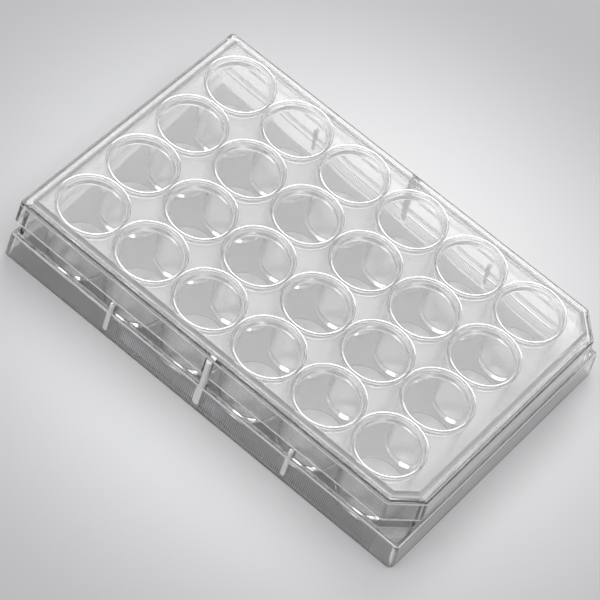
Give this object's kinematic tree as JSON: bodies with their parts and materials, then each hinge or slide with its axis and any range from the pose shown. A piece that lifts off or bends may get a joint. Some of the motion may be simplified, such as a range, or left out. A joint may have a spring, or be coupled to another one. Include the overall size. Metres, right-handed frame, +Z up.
{
  "type": "multiwell culture plate",
  "caption": "Clear flat-bottomed multiwell culture plate with a lift-off lid, ribbed skirt flange and two cut lid corners.",
  "frame": {"origin": "middle of the footprint, on the plane that the skirt stands on", "axes": "+Z up; +X along the long side, towards the end with the two cut lid corners; +Y across the short side"},
  "size_m": [0.1278, 0.0854, 0.0225],
  "materials": {
    "plate_polystyrene": "clear moulded polystyrene, polished",
    "lid_polystyrene": "clear moulded polystyrene, polished"
  },
  "bodies": {
    "root": {"plate": "plate_polystyrene", "lid": "lid_polystyrene"}
  },
  "joints": []
}
